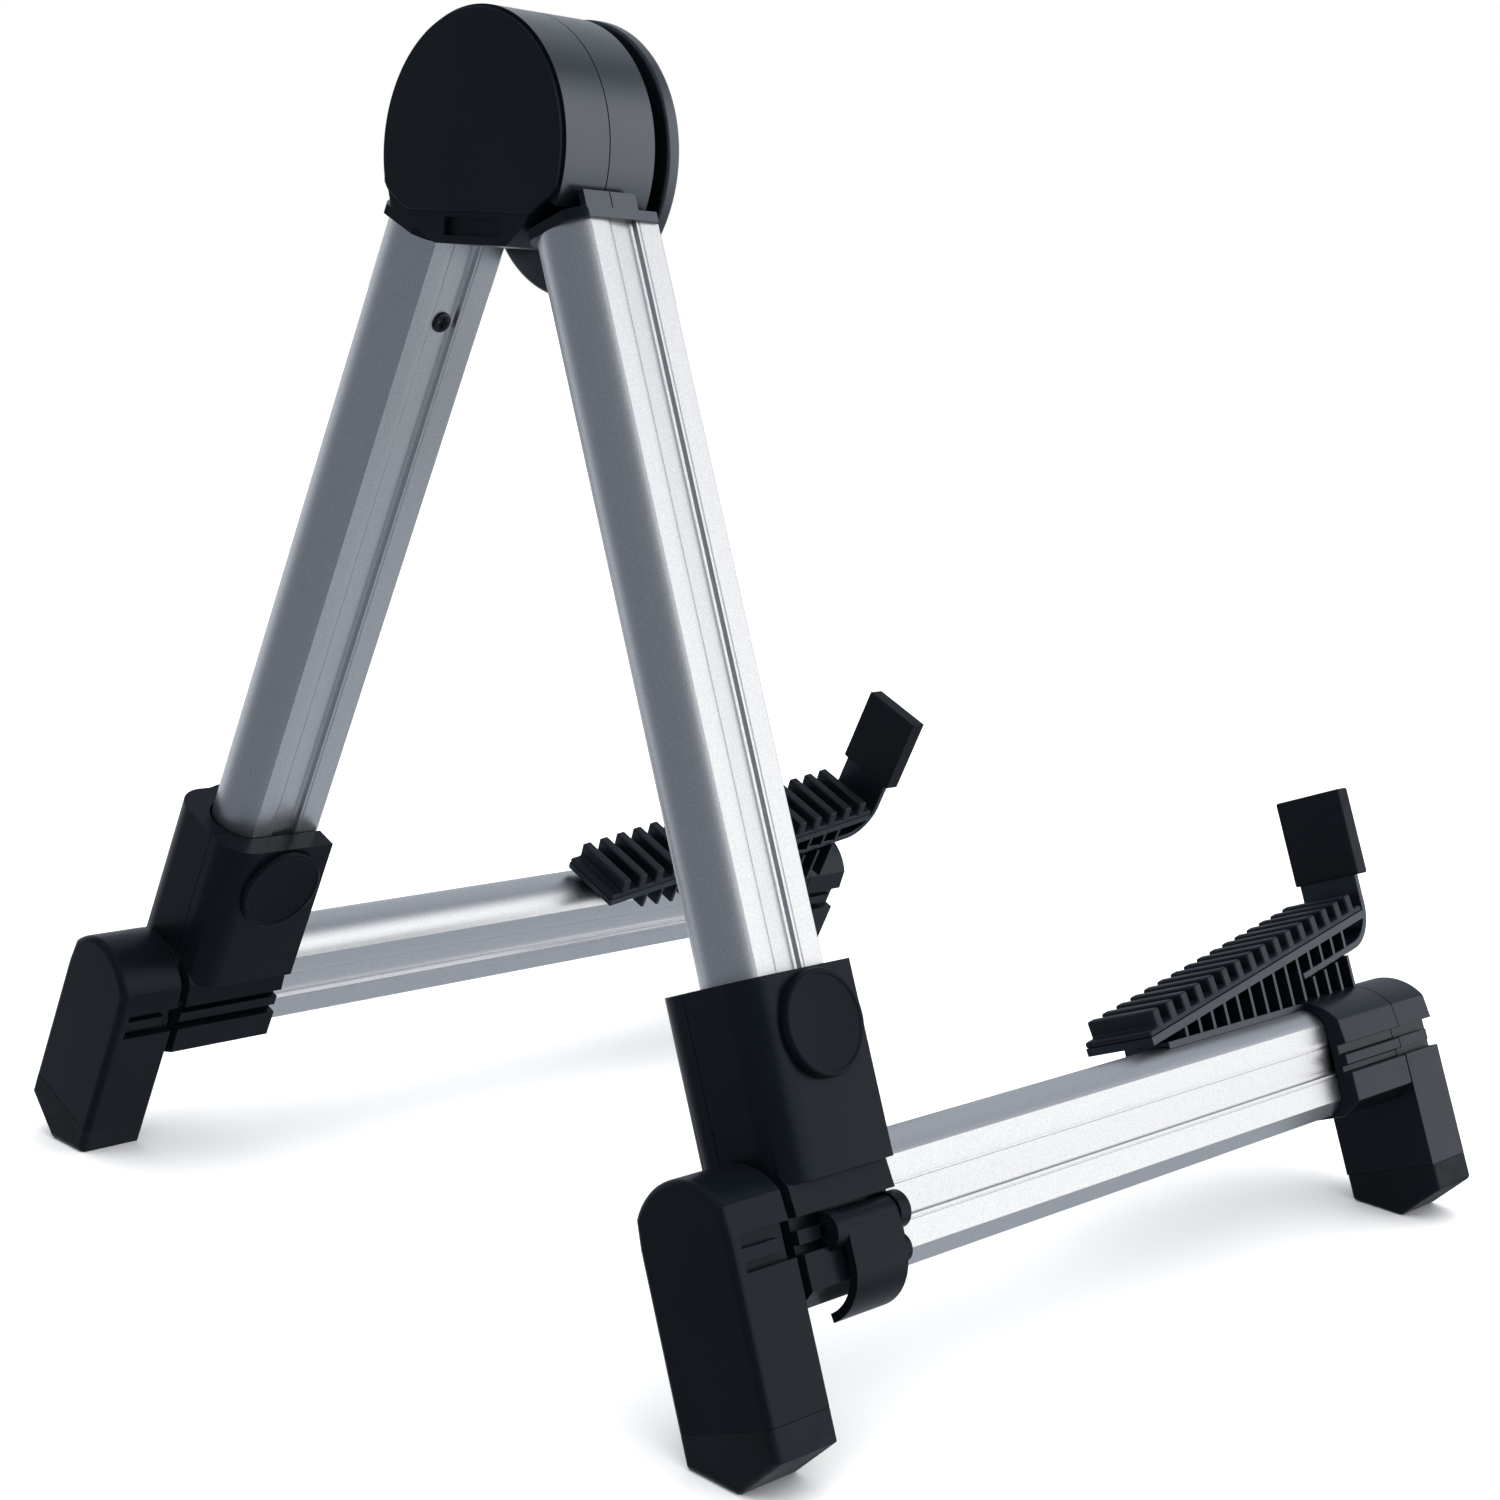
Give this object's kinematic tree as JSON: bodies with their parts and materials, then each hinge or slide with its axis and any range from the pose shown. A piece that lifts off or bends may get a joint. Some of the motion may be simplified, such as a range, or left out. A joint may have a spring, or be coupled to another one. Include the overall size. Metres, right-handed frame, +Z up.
{
  "type": "folding guitar stand",
  "caption": "Folding A-frame guitar stand: two aluminium legs on a hinge drum, each with a fold-out arm, a toothed rubber cradle, a rubber-capped lip and rubber-shod feet.",
  "frame": {"origin": "middle of the open stand's bounding box, on the floor", "axes": "+Z up, -Y to the front where the lips are, +X to the right leg seen from the back"},
  "size_m": [0.3022, 0.302, 0.3182],
  "materials": {
    "black_plastic": "satin moulded plastic",
    "black_rubber": "matt",
    "satin_aluminium": "satin anodised",
    "steel": "plated"
  },
  "bodies": {
    "left_leg": {"left_hinge_head": "black_plastic", "front_bumper": "black_rubber", "hinge_bolt": "steel", "hinge_nut": "steel", "hinge_washers": "steel", "left_leg_tube": "satin_aluminium", "left_leg_screw": "steel", "left_pivot_plug": "black_plastic"},
    "right_leg": {"right_hinge_head": "black_plastic", "rear_cover": "black_plastic", "right_leg_tube": "satin_aluminium", "right_leg_screw": "steel", "right_pivot_plug": "black_plastic"},
    "left_knuckle_body": {"left_knuckle": "black_plastic", "left_pivot_pin": "steel", "left_outer_pivot_cap": "black_plastic", "left_inner_pivot_cap": "black_plastic", "left_latch_pin": "steel"},
    "left_latch": {"left_latch_lever": "black_plastic"},
    "left_arm": {"left_arm_rail": "satin_aluminium", "left_rear_foot": "black_plastic", "left_rear_shoe": "black_rubber", "left_front_sleeve": "black_plastic", "left_front_foot": "black_plastic", "left_front_shoe": "black_rubber", "left_foot_screws": "steel", "left_cradle_base": "black_plastic", "left_cradle_pad": "black_rubber", "left_lip_bracket": "black_plastic", "left_lip_cap": "black_rubber"},
    "right_knuckle_body": {"right_knuckle": "black_plastic", "right_pivot_pin": "steel", "right_outer_pivot_cap": "black_plastic", "right_inner_pivot_cap": "black_plastic", "right_latch_pin": "steel"},
    "right_latch": {"right_latch_lever": "black_plastic"},
    "right_arm": {"right_arm_rail": "satin_aluminium", "right_rear_foot": "black_plastic", "right_rear_shoe": "black_rubber", "right_front_sleeve": "black_plastic", "right_front_foot": "black_plastic", "right_front_shoe": "black_rubber", "right_foot_screws": "steel", "right_cradle_base": "black_plastic", "right_cradle_pad": "black_rubber", "right_lip_bracket": "black_plastic", "right_lip_cap": "black_rubber"}
  },
  "joints": [
    {"name": "top_hinge", "type": "hinge", "parent": "left_leg", "child": "right_leg", "pos_m": [0, 0.112, 0.28421], "axis": [0, 1, 0], "range_deg": [0, 45]},
    {"name": "left_arm_fold", "type": "hinge", "parent": "left_leg", "child": "left_knuckle_body", "pos_m": [-0.10313, 0.111, 0.08739], "axis": [-0.9219, 0, 0.3875], "range_deg": [0, 78]},
    {"name": "left_arm_slide", "type": "slide", "parent": "left_knuckle_body", "child": "left_arm", "axis": [0, -1, 0], "range_m": [-0.05, 0]},
    {"name": "left_latch_flip", "type": "hinge", "parent": "left_knuckle_body", "child": "left_latch", "pos_m": [-0.13333, 0.109, 0.05116], "axis": [0, 1, 0], "range_deg": [0, 75]},
    {"name": "right_arm_fold", "type": "hinge", "parent": "right_leg", "child": "right_knuckle_body", "pos_m": [0.10313, 0.111, 0.08739], "axis": [-0.9219, 0, -0.3875], "range_deg": [0, 78]},
    {"name": "right_arm_slide", "type": "slide", "parent": "right_knuckle_body", "child": "right_arm", "axis": [0, -1, 0], "range_m": [-0.05, 0]},
    {"name": "right_latch_flip", "type": "hinge", "parent": "right_knuckle_body", "child": "right_latch", "pos_m": [0.13333, 0.109, 0.05116], "axis": [0, -1, 0], "range_deg": [0, 75]}
  ]
}
